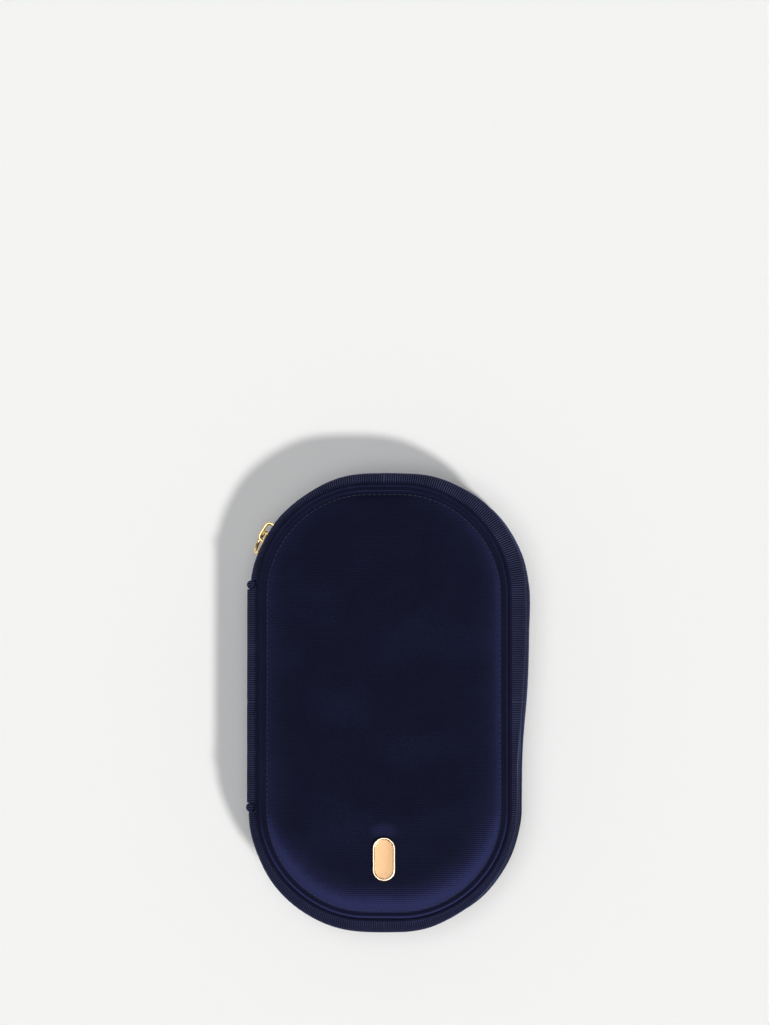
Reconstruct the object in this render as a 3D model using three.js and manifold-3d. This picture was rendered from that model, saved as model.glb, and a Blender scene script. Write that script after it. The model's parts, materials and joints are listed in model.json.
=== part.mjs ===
// Zip-around velvet carry case for wireless earbuds and their accessories.
// Millimetres, +Z up. The case lies closed on its flat bottom, the long axis along Y.
// The fabric hinge is on the -X side and the zip closes at the upper end of it.
import * as THREE from "three";
import { mergeVertices } from "three/addons/utils/BufferGeometryUtils.js";
import Module from "manifold-3d";

const wasm = await Module();
wasm.setup();

// Plan shape: a rounded rectangle. A ring's radius is its half width, and its corners turn
// about fixed centres, so all rings are parallel.
const cornerX = 6.65;
const cornerY = 39.65;
const ringSegments = 36; // a multiple of 4, so that no vertex lies on the X or Y axis
const gap = 0.3;

// Heights
const zipHeight = 27;
const wallEdgeBase = 22.3;
const wallEdgeLid = 31.7;
const baseRimZ = 1.3;
const lidRimZ = 46;
const crownTop = 48.2;

// Wall radii, from outside to inside
const bulgeRadius = 51.8;
const wallEdgeRadius = 49.3;
const spineWaistRadius = 50;
const rimRadius = 47;
const rimWeltRadius = 0.9;
const velvetThickness = 1;
const wallBoardOuter = 46.3;
const wallBoardInner = 44.9;
const liningThickness = 0.9;
const coverRadius = 45.8;
const boardThickness = 1.6;
const baseBulgeZ = 12.4;
const lidBulgeZ = 38.2;

// Ends of the parts of the wall on the hinge side, as heights along Y: upper, lower.
const wallEnds = [45.9, -41.3];
const rollPlaces = [43.75, -39.2];
const spineEnds = [41.7, -37.1];
const tapeEnds = [43.6, -38.6];
const coilEnds = [64.5, -43.7];
const rollRadius = 1.6;
const rollCentreRadius = 49.9;

// Zip
const tapeRadii = [47.3, 47.9];
const tapeHeight = 7.2;
const coilRadii = [48.2, 49.4];
const coilRowGap = 0.4;
const coilRowHeight = 1.5;
const sliderAngle = 148.2;
const sliderLength = 9.7;
const sliderHeight = 8;
const outerPlateHeight = 5.6;
const startStopAngle = 161;
const endStopAngle = 183.6;

// Pull ring
const pullWireRadius = 0.6;
const pullRingRadius = 4.4;
const pullTilt = 20;
const pullSwing = -5;
const bailCentreRadius = 53;
const bailLength = 8.6;

// Tray and its wells
const trayRadius = 43.4;
const trayBottom = 4.7;
const trayTop = 21;
const wellFloor = 7;
const caseWell = { x: 0, y: -30, width: 58, length: 48, corner: 10 };
const earbudWells = { x: 16, y: 14, radius: 11 };
const cableWell = { x: 0, y: 48, width: 56, length: 24, corner: 12 };

// Badge
const badge = { x: 0.5, y: -58, width: 8.5, length: 16.2, pinSpread: 4.4, pinRadius: 0.8 };

const radians = THREE.MathUtils.degToRad;

// --- solids and booleans ---

// One indexed mesh of positions only, without the flat triangles a lathe leaves on its axis.
function plain(geometry) {
  const bare = new THREE.BufferGeometry();
  bare.setAttribute("position", geometry.getAttribute("position"));
  if (geometry.index) bare.setIndex(geometry.index);
  const merged = mergeVertices(bare, 1e-4);
  const index = merged.index.array;
  const kept = [];
  for (let i = 0; i < index.length; i += 3) {
    const [a, b, c] = [index[i], index[i + 1], index[i + 2]];
    if (a !== b && b !== c && c !== a) kept.push(a, b, c);
  }
  merged.setIndex(kept);
  return merged;
}

function toManifold(geometry) {
  const merged = plain(geometry);
  return new wasm.Manifold(new wasm.Mesh({
    numProp: 3,
    vertProperties: new Float32Array(merged.getAttribute("position").array),
    triVerts: new Uint32Array(merged.index.array),
  }));
}

function fromManifold(manifold) {
  const mesh = manifold.getMesh();
  const geometry = new THREE.BufferGeometry();
  geometry.setAttribute("position", new THREE.BufferAttribute(mesh.vertProperties, 3));
  geometry.setIndex(new THREE.BufferAttribute(mesh.triVerts, 1));
  return geometry;
}

function combine(operation, first, ...others) {
  let result = toManifold(first);
  for (const other of others) result = result[operation](toManifold(other));
  return fromManifold(result);
}

const join = (...parts) => combine("add", ...parts);
const cut = (...parts) => combine("subtract", ...parts);
const common = (...parts) => combine("intersect", ...parts);

// --- shapes ---

// A lathe pulled apart along X and Y, so that its quarters become the corners of a rounded
// rectangle. The profile lists [radius, height] and runs up the outside.
function obround(profile) {
  const points = profile.map(([r, z]) => new THREE.Vector2(r, z));
  const step = (2 * Math.PI) / ringSegments;
  const lathe = new THREE.LatheGeometry(points, ringSegments, step / 2);
  const position = lathe.getAttribute("position");
  const quarterTurn = Math.PI / 2;
  for (let i = 0; i < position.count; i++) {
    const [r, z] = profile[i % profile.length];
    const turn = (Math.floor(i / profile.length) + 0.5) * step;
    const [signX, signY] = [Math.sign(Math.sin(turn)), -Math.sign(Math.cos(turn))];
    const raw = Math.atan2(Math.abs(Math.cos(turn)), Math.abs(Math.sin(turn)));
    const angle = ((raw - step / 2) * quarterTurn) / (quarterTurn - step);
    const corner = Math.max(r - cornerX, 0);
    const x = Math.min(r, cornerX) + corner * Math.cos(angle);
    position.setXYZ(i, signX * x, signY * (cornerY + corner * Math.sin(angle)), z);
  }
  return lathe;
}

const closed = (profile) => [...profile, profile[0]];

const band = (inner, outer, low, high) =>
  obround(closed([[inner, low], [outer, low], [outer, high], [inner, high]]));

const slab = (radius, low, high) => obround([[0, low], [radius, low], [radius, high], [0, high]]);

function roundRing(radius, z, tubeRadius, sides = 8) {
  const profile = [];
  for (let i = 0; i < sides; i++) {
    const a = (2 * Math.PI * (i + 0.5)) / sides;
    profile.push([radius + tubeRadius * Math.cos(a), z + tubeRadius * Math.sin(a)]);
  }
  return obround(closed(profile));
}

// Quarter ellipse from a bulge's widest point to an edge.
function quarter(widest, edge, steps = 3) {
  const points = [];
  for (let i = 0; i <= steps; i++) {
    const a = (Math.PI / 2) * (i / steps);
    points.push([
      edge[0] + (widest[0] - edge[0]) * Math.cos(a),
      widest[1] + (edge[1] - widest[1]) * Math.sin(a),
    ]);
  }
  return points;
}

// The outline moved towards the axis by a distance.
function inset(outline, distance) {
  return outline.map(([r, z], i) => {
    const before = outline[Math.max(i - 1, 0)];
    const after = outline[Math.min(i + 1, outline.length - 1)];
    const [dr, dz] = [after[0] - before[0], after[1] - before[1]];
    const length = Math.hypot(dr, dz);
    return [r - (distance * dz) / length, z + (distance * dr) / length];
  });
}

const skin = (outline, thickness) =>
  obround(closed([...outline, ...inset(outline, thickness).reverse()]));

// Padding between a skin and the board behind it, cut off level at both heights.
function padding(outline, low, high) {
  const inner = wallBoardOuter + gap;
  const front = inset(outline, velvetThickness + 2 * gap)
    .filter(([r, z]) => z > low && z < high && r > inner + 1);
  const profile = [[inner, low], [front[0][0] - 1.9, low], ...front];
  profile.push([front[front.length - 1][0] - 1.9, high], [inner, high]);
  return obround(closed(profile));
}

// The block that covers the hinge side between two places along Y.
function hingeSide([upper, lower]) {
  return box(-55, (upper + lower) / 2, 30, 70, upper - lower, 80);
}

function box(x, y, z, width, depth, height) {
  return new THREE.BoxGeometry(width, depth, height).translate(x, y, z);
}

function upright(x, y, low, high, radius, sides = 16) {
  return new THREE.CylinderGeometry(radius, radius, high - low, sides)
    .rotateX(Math.PI / 2).translate(x, y, (low + high) / 2);
}

// A rounded rectangle standing between two heights.
function roundedBlock({ x, y, width, length, corner }, low, high) {
  const [w, l] = [width / 2, length / 2];
  const shape = new THREE.Shape();
  shape.moveTo(w, l - corner);
  shape.absarc(w - corner, l - corner, corner, 0, Math.PI / 2);
  shape.absarc(-w + corner, l - corner, corner, Math.PI / 2, Math.PI);
  shape.absarc(-w + corner, -l + corner, corner, Math.PI, 1.5 * Math.PI);
  shape.absarc(w - corner, -l + corner, corner, 1.5 * Math.PI, 2 * Math.PI);
  return new THREE.ExtrudeGeometry(shape, { depth: high - low, bevelEnabled: false, curveSegments: 8 })
    .translate(x, y, low);
}

// Moves a piece built with X along the zip and Y as its radius to an angle round a hinge-side corner.
function onCorner(geometry, angle, end = 1) {
  return geometry.translate(0, -cornerX, 0).rotateZ(radians(angle - 90))
    .translate(-cornerX, end * cornerY, 0);
}

// --- the object ---

const velvet = { color: 0x16172b, roughness: 0.95, metalness: 0 };
const velvetTrim = { color: 0x2c2f4a, roughness: 0.95, metalness: 0 };
const lining = { color: 0x23252f, roughness: 0.9, metalness: 0 };
const foam = { color: 0x3b3d44, roughness: 1, metalness: 0 };
const board = { color: 0xa58a68, roughness: 0.9, metalness: 0 };
const tape = { color: 0x14151f, roughness: 0.9, metalness: 0 };
const coil = { color: 0x10111a, roughness: 0.45, metalness: 0 };
const gold = { color: 0xd9a662, roughness: 0.25, metalness: 1 };
const steel = { color: 0xb8babd, roughness: 0.35, metalness: 1 };

const group = new THREE.Group();
group.name = "earbuds_carry_case";

function add(name, geometry, look) {
  const finished = plain(geometry);
  finished.computeVertexNormals();
  const mesh = new THREE.Mesh(finished, new THREE.MeshStandardMaterial(look));
  mesh.name = name;
  group.add(mesh);
}

// Wall outlines, from the lower edge to the upper edge
const baseOutline = [
  ...quarter([bulgeRadius, baseBulgeZ], [rimRadius + 0.4, baseRimZ + rimWeltRadius + gap]).reverse(),
  ...quarter([bulgeRadius, baseBulgeZ], [wallEdgeRadius, wallEdgeBase]).slice(1),
];
const lidOutline = [
  ...quarter([bulgeRadius, lidBulgeZ], [wallEdgeRadius, wallEdgeLid]).reverse(),
  ...quarter([bulgeRadius, lidBulgeZ], [rimRadius + 0.4, lidRimZ - rimWeltRadius - gap]).slice(1),
];
const spineOutline = [
  ...baseOutline.slice(0, 5),
  [spineWaistRadius + 0.3, wallEdgeBase - 0.5],
  [spineWaistRadius, zipHeight],
  [spineWaistRadius + 0.3, wallEdgeLid + 0.5],
  ...lidOutline.slice(3),
];

const rollAt = rollPlaces.map((y) => {
  const corner = rollCentreRadius - cornerX;
  const past = Math.max(Math.abs(y) - cornerY, 0);
  return [-cornerX - Math.sqrt(corner ** 2 - past ** 2), y];
});
const rollRooms = rollAt.map(([x, y]) => upright(x, y, -1, 60, rollRadius + gap));

// Base shell
const baseBoardLow = 1.2 + gap;
const baseBoardHigh = baseBoardLow + boardThickness;
const wallBoardLow = baseBoardHigh + gap;
add("bottom_cover", obround([[0, 0], [45, 0], [coverRadius, 0.4], [coverRadius, 1.2], [0, 1.2]]), velvet);
add("base_rim_welt", roundRing(rimRadius, baseRimZ, rimWeltRadius), velvetTrim);
add("bottom_board", slab(45.7, baseBoardLow, baseBoardHigh), board);
add("base_wall_velvet", cut(skin(baseOutline, velvetThickness), hingeSide(wallEnds)), velvet);
add("base_wall_foam", cut(padding(baseOutline, 5.6, 19), ...rollRooms), foam);
add("base_wall_board", band(wallBoardInner, wallBoardOuter, wallBoardLow, 22.5), board);

// Base inside
const liningOuter = wallBoardInner - gap;
const liningInner = liningOuter - liningThickness;
add("base_floor_lining", slab(liningOuter, wallBoardLow, wallBoardLow + 1), lining);
add("base_wall_lining", band(liningInner, liningOuter, wallBoardLow + 1 + gap, 23.5), lining);

const wells = [
  roundedBlock(caseWell, wellFloor, trayTop + 2),
  roundedBlock(cableWell, wellFloor, trayTop + 2),
  ...[-1, 1].map((side) =>
    upright(side * earbudWells.x, earbudWells.y, wellFloor, trayTop + 2, earbudWells.radius, 32)),
];
add("insert_tray", cut(slab(trayRadius, trayBottom, trayTop), ...wells), lining);

// Ribbon tab: flat on the tray, then curling up so that fingers can lift the tray out.
const ribbonShape = new THREE.Shape();
ribbonShape.moveTo(62, trayTop + gap);
ribbonShape.lineTo(69, trayTop + gap);
ribbonShape.absarc(69, trayTop + gap + 3.4, 3.4, -Math.PI / 2, 0);
ribbonShape.lineTo(72.4, trayTop + 8);
ribbonShape.lineTo(71.7, trayTop + 8);
ribbonShape.lineTo(71.7, trayTop + gap + 3.4);
ribbonShape.absarc(69, trayTop + gap + 3.4, 2.7, 0, -Math.PI / 2, true);
ribbonShape.lineTo(62, trayTop + gap + 0.7);
const ribbon = new THREE.ExtrudeGeometry(ribbonShape, { depth: 12, bevelEnabled: false, curveSegments: 5 });
add("tray_lift_ribbon", ribbon.rotateY(Math.PI / 2).rotateX(Math.PI / 2).translate(-6, 0, 0), velvetTrim);

// Fabric hinge
add("spine_panel", common(skin(spineOutline, velvetThickness), hingeSide(spineEnds)), velvet);
add("spine_lining", common(band(...tapeRadii, 19.3, 34.7), hingeSide(spineEnds)), lining);
["upper", "lower"].forEach((end, i) =>
  add(`spine_roll_${end}`, upright(...rollAt[i], 3.2, 44.4, rollRadius), velvet));

// Lid shell
const lidBoardHigh = lidRimZ - rimWeltRadius - 0.1;
const lidBoardLow = lidBoardHigh - boardThickness;
const coverLow = lidBoardHigh + gap;
const pinAt = [1, -1].map((side) => [badge.x, badge.y + side * badge.pinSpread]);
const pinHoles = pinAt.map(([x, y]) => upright(x, y, 30, 60, badge.pinRadius + gap));
const lidCover = obround([
  [0, crownTop - velvetThickness], [36, crownTop - velvetThickness], [39.2, 46.9], [41.4, 46.1],
  [42.2, coverLow], [coverRadius, coverLow], [coverRadius, 46.3], [44.6, 46.8], [43.3, 46.4],
  [42.1, 47], [39.6, 47.9], [36, crownTop], [0, crownTop],
]);
const lidPad = obround([
  [0, coverLow], [41.2, coverLow], [41, 45.8], [38.9, 46.6], [36, crownTop - velvetThickness - gap],
  [0, crownTop - velvetThickness - gap],
]);
add("lid_cover", cut(lidCover, ...pinHoles), velvet);
add("lid_foam_pad", cut(lidPad, ...pinHoles), foam);
add("lid_board", cut(slab(coverRadius, lidBoardLow, lidBoardHigh), ...pinHoles), board);
add("lid_rim_welt", roundRing(rimRadius, lidRimZ, rimWeltRadius), velvetTrim);
add("lid_wall_velvet", cut(skin(lidOutline, velvetThickness), hingeSide(wallEnds)), velvet);
add("lid_wall_foam", cut(padding(lidOutline, 35, 43), ...rollRooms), foam);
add("lid_wall_board", band(wallBoardInner, wallBoardOuter, 31.5, lidBoardLow - gap), board);

// Lid inside
const washerLow = lidBoardLow - gap - 0.9;
const liningPanelLow = washerLow - gap - 0.9;
add("lid_lining_panel", slab(liningOuter, liningPanelLow, washerLow - gap), lining);
add("lid_wall_lining", band(liningInner, liningOuter, 31.2, liningPanelLow - gap), lining);

const pocketEdge = 4;
const pocketTop = liningPanelLow - gap;
const pocketArea = box(0, pocketEdge - 60, 40, 120, 120, 20);
add("mesh_pocket", common(slab(trayRadius, pocketTop - 0.8, pocketTop), pocketArea), lining);
const bindingArea = box(0, pocketEdge + gap + 3.5, 40, 120, 7, 20);
add("pocket_binding", common(slab(trayRadius, pocketTop - 1.5, pocketTop), bindingArea), velvetTrim);

// Zip tapes, coils and stops: each half mirrors the other about the height of the zip.
const halves = [["base", -1], ["lid", 1]];
for (const [half, side] of halves) {
  const sorted = (near, far) => [zipHeight + side * near, zipHeight + side * far].sort((a, b) => a - b);
  const tapeBand = band(...tapeRadii, ...sorted(0.5, 0.5 + tapeHeight));
  add(`zip_tape_${half}`, cut(tapeBand, hingeSide(tapeEnds)), tape);
  const coilRow = sorted(coilRowGap, coilRowGap + coilRowHeight);
  add(`zip_coil_${half}`, cut(band(...coilRadii, ...coilRow), hingeSide(coilEnds)), coil);
  const stopZ = zipHeight + side * (coilRowGap + 1);
  add(`zip_start_stop_${half}`, onCorner(box(0, 49, stopZ, 1.6, 1.6, 2), startStopAngle), gold);
  add(`zip_end_stop_${half}`, onCorner(box(0, 49, stopZ, 1.4, 1.6, 2), endStopAngle, -1), gold);
}

// Zip slider: two plates joined by a thin blade that runs between the coil rows.
const plateThickness = 0.8;
const innerPlate = box(0, 46.05, zipHeight, sliderLength, plateThickness, sliderHeight);
const outerPlate = box(0, 50.05, zipHeight, sliderLength, plateThickness, outerPlateHeight);
const blade = box(0, 48.05, zipHeight, 4, 3.6, 0.4);
add("slider_body", onCorner(join(innerPlate, outerPlate, blade), sliderAngle), gold);
const bail = cut(
  box(0, 52.9, zipHeight, bailLength, 4.2, 1.6),
  box(0, 52.4, zipHeight, bailLength - 2.8, 3.8, 3),
);
add("slider_bail", onCorner(bail, sliderAngle), gold);

// Pull ring: threaded through the bail, leaning outward and lying along the wall.
const ring = new THREE.TorusGeometry(pullRingRadius, pullWireRadius, 10, 28)
  .rotateX(Math.PI / 2 + radians(pullTilt))
  .translate(-pullRingRadius, 0, 0)
  .rotateZ(-radians(pullSwing))
  .translate(0, bailCentreRadius, zipHeight);
add("pull_ring", onCorner(ring, sliderAngle), gold);

// Badge: a plain capsule with a raised rim, held by two pins and their washers.
const badgeLow = crownTop + gap;
const badgeRim = { ...badge, corner: badge.width / 2 };
const badgeField = { ...badgeRim, width: badge.width - 1.6, length: badge.length - 1.6 };
badgeField.corner = badgeField.width / 2;
const pins = pinAt.map(([x, y]) => upright(x, y, washerLow, badgeLow + 0.4, badge.pinRadius));
const badgePlate = cut(
  roundedBlock(badgeRim, badgeLow, badgeLow + 1.6),
  roundedBlock(badgeField, badgeLow + 1, badgeLow + 3),
);
add("lid_badge", join(badgePlate, ...pins), gold);
["upper", "lower"].forEach((end, i) =>
  add(`badge_washer_${end}`, cut(upright(...pinAt[i], washerLow, lidBoardLow - gap, 3), pinHoles[i]), steel));

export default group;
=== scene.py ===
import json
import math

import bmesh
import bpy
from mathutils import Matrix, Vector, noise


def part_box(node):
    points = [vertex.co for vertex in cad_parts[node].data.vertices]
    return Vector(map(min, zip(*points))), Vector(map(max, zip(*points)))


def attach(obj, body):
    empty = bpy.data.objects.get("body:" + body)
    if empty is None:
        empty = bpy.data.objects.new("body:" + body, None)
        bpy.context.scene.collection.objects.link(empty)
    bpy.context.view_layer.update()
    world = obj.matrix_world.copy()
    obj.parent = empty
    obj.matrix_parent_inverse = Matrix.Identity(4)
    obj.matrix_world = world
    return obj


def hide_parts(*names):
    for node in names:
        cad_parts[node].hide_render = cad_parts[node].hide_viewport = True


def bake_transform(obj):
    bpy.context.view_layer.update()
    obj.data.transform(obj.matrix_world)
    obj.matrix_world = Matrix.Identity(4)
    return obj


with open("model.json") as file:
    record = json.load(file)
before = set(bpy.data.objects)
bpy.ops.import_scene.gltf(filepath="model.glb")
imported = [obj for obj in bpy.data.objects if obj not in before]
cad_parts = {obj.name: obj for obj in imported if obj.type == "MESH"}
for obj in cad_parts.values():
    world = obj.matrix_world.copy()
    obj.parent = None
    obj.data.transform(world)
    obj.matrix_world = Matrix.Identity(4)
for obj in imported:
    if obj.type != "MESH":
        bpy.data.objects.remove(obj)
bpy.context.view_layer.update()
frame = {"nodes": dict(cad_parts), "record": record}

mm = 0.001
nodes = frame["nodes"]
record = frame["record"]
joints = {joint["name"]: joint for joint in record["behaviour"]["joints"]}
slotOf = {part["node"]: part["material_slot"] for part in record["subparts"]}
bodyOf = {node: body for body, names in record["behaviour"]["bodies"].items() for node in names}


def lowHigh(node):
    low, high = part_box(node)
    return Vector(low), Vector(high)


bulge = lowHigh("base_wall_velvet")[1].x  # widest radius of the padded wall, its half width
cornerX = -joints["zip_slider_travel"]["pos_m"][0]  # the corners turn about fixed centres
cornerY = joints["zip_slider_travel"]["pos_m"][1]
zipHeight = (lowHigh("slider_body")[0].z + lowHigh("slider_body")[1].z) / 2


# Camera and light

view = {
    "aim": (0.4, 70.4, 46),
    "from": (125, 4, 1500),
    "lens": 138,
    "sunFrom": (0.43, -0.43, 1),
    "sunStrength": 1.98,
    "sunAngle": 5,
    "sky": (0.985, 0.992, 1.0),
    "skyStrength": 0.15,  # all round
    "overheadStrength": 7.9,  # a soft box straight above
    "overheadReach": 0.955,  # height on the sky where it starts, 1 is straight up
    "floor": 0.8,
}


def aimed(place, target, up=(0, 1, 0)):
    forward = (Vector(target) - Vector(place)).normalized()
    right = forward.cross(Vector(up)).normalized()
    top = right.cross(forward)
    turn = Matrix((right, top, -forward)).transposed().to_4x4()
    return Matrix.Translation(Vector(place)) @ turn


def makeCamera():
    lens = bpy.data.cameras.new("camera")
    lens.lens = view["lens"]
    lens.sensor_width = 36
    lens.clip_start = 0.01
    lens.clip_end = 20
    camera = bpy.data.objects.new("camera", lens)
    camera.matrix_world = aimed(Vector(view["from"]) * mm, Vector(view["aim"]) * mm)
    bpy.context.scene.collection.objects.link(camera)
    bpy.context.scene.camera = camera


def makeLight():
    sun = bpy.data.lights.new("sun", "SUN")
    sun.energy = view["sunStrength"]
    sun.angle = math.radians(view["sunAngle"])
    sun.color = (1, 0.985, 0.96)
    lamp = bpy.data.objects.new("sun", sun)
    lamp.matrix_world = aimed(Vector(view["sunFrom"]), (0, 0, 0))
    bpy.context.scene.collection.objects.link(lamp)
    world = bpy.data.worlds.new("studio")
    world.use_nodes = True
    tree = world.node_tree
    background = tree.nodes["Background"]
    background.inputs["Color"].default_value = (*view["sky"], 1)
    direction = tree.nodes.new("ShaderNodeTexCoord")
    split = tree.nodes.new("ShaderNodeSeparateXYZ")
    soft = tree.nodes.new("ShaderNodeMapRange")
    tree.links.new(direction.outputs["Generated"], split.inputs[0])
    tree.links.new(split.outputs["Z"], soft.inputs["Value"])
    tree.links.new(soft.outputs["Result"], background.inputs["Strength"])
    soft.interpolation_type = "SMOOTHSTEP"
    for key, value in (("From Min", view["overheadReach"]), ("From Max", view["overheadReach"] + 0.03),
                       ("To Min", view["skyStrength"]), ("To Max", view["overheadStrength"])):
        soft.inputs[key].default_value = value
    bpy.context.scene.world = world
    bpy.context.scene.view_settings.view_transform = "Standard"


makeCamera()
makeLight()
print("camera and light set")


# Materials

class Term:
    # one output socket, with arithmetic that adds Math nodes
    def __init__(self, recipe, socket):
        self.recipe = recipe
        self.socket = socket

    def math(self, operation, *others):
        values = {0: self}
        values.update({i + 1: other for i, other in enumerate(others)})
        return self.recipe.node("ShaderNodeMath", {"operation": operation}, values)

    def __add__(self, other):
        return self.math("ADD", other)

    def __sub__(self, other):
        return self.math("SUBTRACT", other)

    def __rsub__(self, other):
        return (self * -1) + other

    def __mul__(self, other):
        return self.math("MULTIPLY", other)

    def __pow__(self, other):
        return self.math("POWER", other)

    def __abs__(self):
        return self.math("ABSOLUTE")

    def sin(self):
        return self.math("SINE")

    def atLeast(self, other):
        return self.math("MAXIMUM", other)

    def atMost(self, other):
        return self.math("MINIMUM", other)

    def over(self, other):
        return self.math("GREATER_THAN", other)

    def angleFrom(self, other):
        return self.math("ARCTAN2", other)

    def output(self, i):
        return Term(self.recipe, self.socket.node.outputs[i])


class Recipe:
    # a material, its Principled shader and the means to add nodes to it
    def __init__(self, name, **fixed):
        self.material = bpy.data.materials.new(name)
        self.material.use_nodes = True
        self.tree = self.material.node_tree
        self.shader = self.tree.nodes["Principled BSDF"]
        for key, value in fixed.items():
            socket = self.shader.inputs[key.replace("_", " ")]
            socket.default_value = (*value, 1) if isinstance(value, tuple) else value

    def node(self, kind, settings, values, output=0):
        made = self.tree.nodes.new(kind)
        for key, value in settings.items():
            setattr(made, key, value)
        for key, value in values.items():
            if isinstance(value, Term):
                self.tree.links.new(value.socket, made.inputs[key])
            else:
                made.inputs[key].default_value = value
        return Term(self, made.outputs[output])

    def feed(self, key, term):
        self.tree.links.new(term.socket, self.shader.inputs[key])

    def place(self):
        if not hasattr(self, "placeTerm"):
            self.placeTerm = self.node("ShaderNodeTexCoord", {}, {}, "Object")
            split = self.node("ShaderNodeSeparateXYZ", {}, {0: self.placeTerm})
            self.xyz = [split.output(i) for i in range(3)]
        return self.placeTerm

    def axes(self):
        self.place()
        return self.xyz

    def noise(self, size, detail=2, rough=0.5, stretch=None):
        place = self.place()
        if stretch:
            place = self.node("ShaderNodeMapping", {}, {0: place, 3: stretch})
        return self.node("ShaderNodeTexNoise", {}, {
            "Vector": place, "Scale": 1 / (size * mm), "Detail": detail, "Roughness": rough})

    def around(self, radius=50):
        # distance along the wall, measured from the middle of a straight side
        x, y, z = self.axes()
        pastX, pastY = (abs(x) - cornerX).atLeast(0), (abs(y) - cornerY).atLeast(0)
        turned = pastY.angleFrom(pastX) * (radius * mm - cornerX)
        return abs(y).atMost(cornerY) + turned - abs(x).atMost(cornerX)

    def mixed(self, factor, first, second):
        return self.node("ShaderNodeMix", {"data_type": "RGBA"}, {
            0: factor, 6: (*first, 1), 7: (*second, 1)}, 2)

    def tinted(self, factor, first, second):
        # as mixed, but the first colour is itself made by nodes
        return self.node("ShaderNodeMix", {"data_type": "RGBA"}, {0: factor, 6: first, 7: (*second, 1)}, 2)

    def bump(self, height, depth, strength=1.0):
        # depth is the height of the relief in mm
        self.feed("Normal", self.node("ShaderNodeBump", {}, {
            "Height": height, "Distance": depth * mm, "Strength": strength}))
        return self.material


velvetLook = {
    "dark": (0.0032, 0.0036, 0.0118),
    "light": (0.0072, 0.0082, 0.0235),
    "ribHighlight": (0.060, 0.068, 0.150),  # painted highlight colour on the crests of the ribs
    "brushedAndPaintedLight": (0.021, 0.025, 0.082),  # painted light: mixed in where the surface faces -Y, and a little on surfaces facing +X and -X
    "sheen": 0.26,
    "sheenTint": (0.30, 0.38, 0.95),
    "sheenRoughness": 0.24,
    "paintedBadgeHighlight": (0.5, -47.5),  # painted highlight on the padding just above the badge
    "paintedBadgeHighlightReach": 4.2,
    "ribPitch": 0.82,
    "linePitch": 0.74,
}


def velvet(name, pattern=None):
    look = velvetLook
    recipe = Recipe(name, Roughness=0.9, Sheen_Weight=look["sheen"], Sheen_Tint=look["sheenTint"],
                    Sheen_Roughness=look["sheenRoughness"], Specular_IOR_Level=0.05)
    nap = recipe.noise(9, 3, 0.6)
    pile = recipe.noise(0.45, 2, 0.7)
    height = pile * 0.6 + recipe.noise(1.6, 2) * 0.3
    shade = nap * 0.55 + pile * 0.45
    if pattern == "ribs":
        wander = recipe.noise(5, 2) * 1.2
        crest = (recipe.around() * (2 * math.pi / (look["ribPitch"] * mm)) + wander).sin() * 0.5 + 0.5
        height = height * 0.45 + crest
    if pattern == "lines":
        x, y, z = recipe.axes()
        wander = recipe.noise(3.5, 2, 0.5, (0.15, 1, 1)) * 2.4
        lines = (y * (2 * math.pi / (look["linePitch"] * mm)) + wander).sin() * 0.5 + 0.5
        height = height * 0.7 + lines * 0.55
        shade = shade * 0.55 + lines * 0.45
    spread = ((shade - 0.3) * 2.2).atLeast(0).atMost(1)
    colour = recipe.mixed(spread, look["dark"], look["light"])
    facing = recipe.node("ShaderNodeTexCoord", {}, {}, "Normal")
    turned = recipe.node("ShaderNodeSeparateXYZ", {}, {0: facing})
    side, front = turned.output(0), turned.output(1)
    # painted light: surfaces facing -Y are lightened most, those facing +X and -X a little, by the direction
    # they face
    brushedAndPaintedLight = (front * -1).atLeast(0) * 0.9 + side.atLeast(0) * 0.13 + (side * -1).atLeast(0) * 0.09
    if pattern == "ribs":
        # painted highlight on the rib crests, strongest on walls facing +Y and -X and weakest on walls facing
        # -Y; the ribs themselves are the velvet's own pattern
        paintedRibHighlight = (crest ** 3) * (nap * 0.9 + 0.25) * (front * 0.6 - side * 0.15 + 0.85)
        colour = recipe.tinted(paintedRibHighlight.atMost(1), colour, look["ribHighlight"])
        brushedAndPaintedLight = brushedAndPaintedLight * 0.3 * (crest * 0.6 + 0.5)
    elif pattern == "lines":
        # painted highlight above the badge, added to the painted light on the panel's -Y slope
        alongX = (x - look["paintedBadgeHighlight"][0] * mm) * (1 / (look["paintedBadgeHighlightReach"] * mm))
        alongY = (y - look["paintedBadgeHighlight"][1] * mm) * (1 / (look["paintedBadgeHighlightReach"] * mm))
        paintedBadgeHighlight = (alongX * alongX * -0.5 - alongY * alongY * 1.4 + 1).atLeast(0)
        brushedAndPaintedLight = (brushedAndPaintedLight * 11 + paintedBadgeHighlight * 0.5) * (lines * 0.8 + 0.4) * (nap * 0.5 + pile * 2.2 - 0.45)
        brushedAndPaintedLight = brushedAndPaintedLight.atLeast(0)
    else:
        # painted light on plain velvet, by the direction the surface faces
        brushedAndPaintedLight = brushedAndPaintedLight * 0.6 * (pile * 0.6 + 0.7)
    recipe.feed("Base Color", recipe.tinted(brushedAndPaintedLight.atMost(1), colour, look["brushedAndPaintedLight"]))
    recipe.feed("Roughness", spread * 0.12 + 0.82)
    return recipe.bump(height, 0.11, 0.75)


def trim(name):
    recipe = Recipe(name, Roughness=0.7, Sheen_Weight=0.35, Sheen_Tint=velvetLook["sheenTint"],
                    Sheen_Roughness=0.35, Specular_IOR_Level=0.25)
    x, y, z = recipe.axes()
    twill = ((recipe.around(47) + z * 1.6) * (2 * math.pi / (0.7 * mm))).sin() * 0.5 + 0.5
    spread = twill * 0.6 + recipe.noise(0.8, 3) * 0.4
    recipe.feed("Base Color", recipe.mixed(spread, (0.009, 0.010, 0.022), (0.026, 0.029, 0.058)))
    return recipe.bump(spread, 0.09, 0.8)


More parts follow.
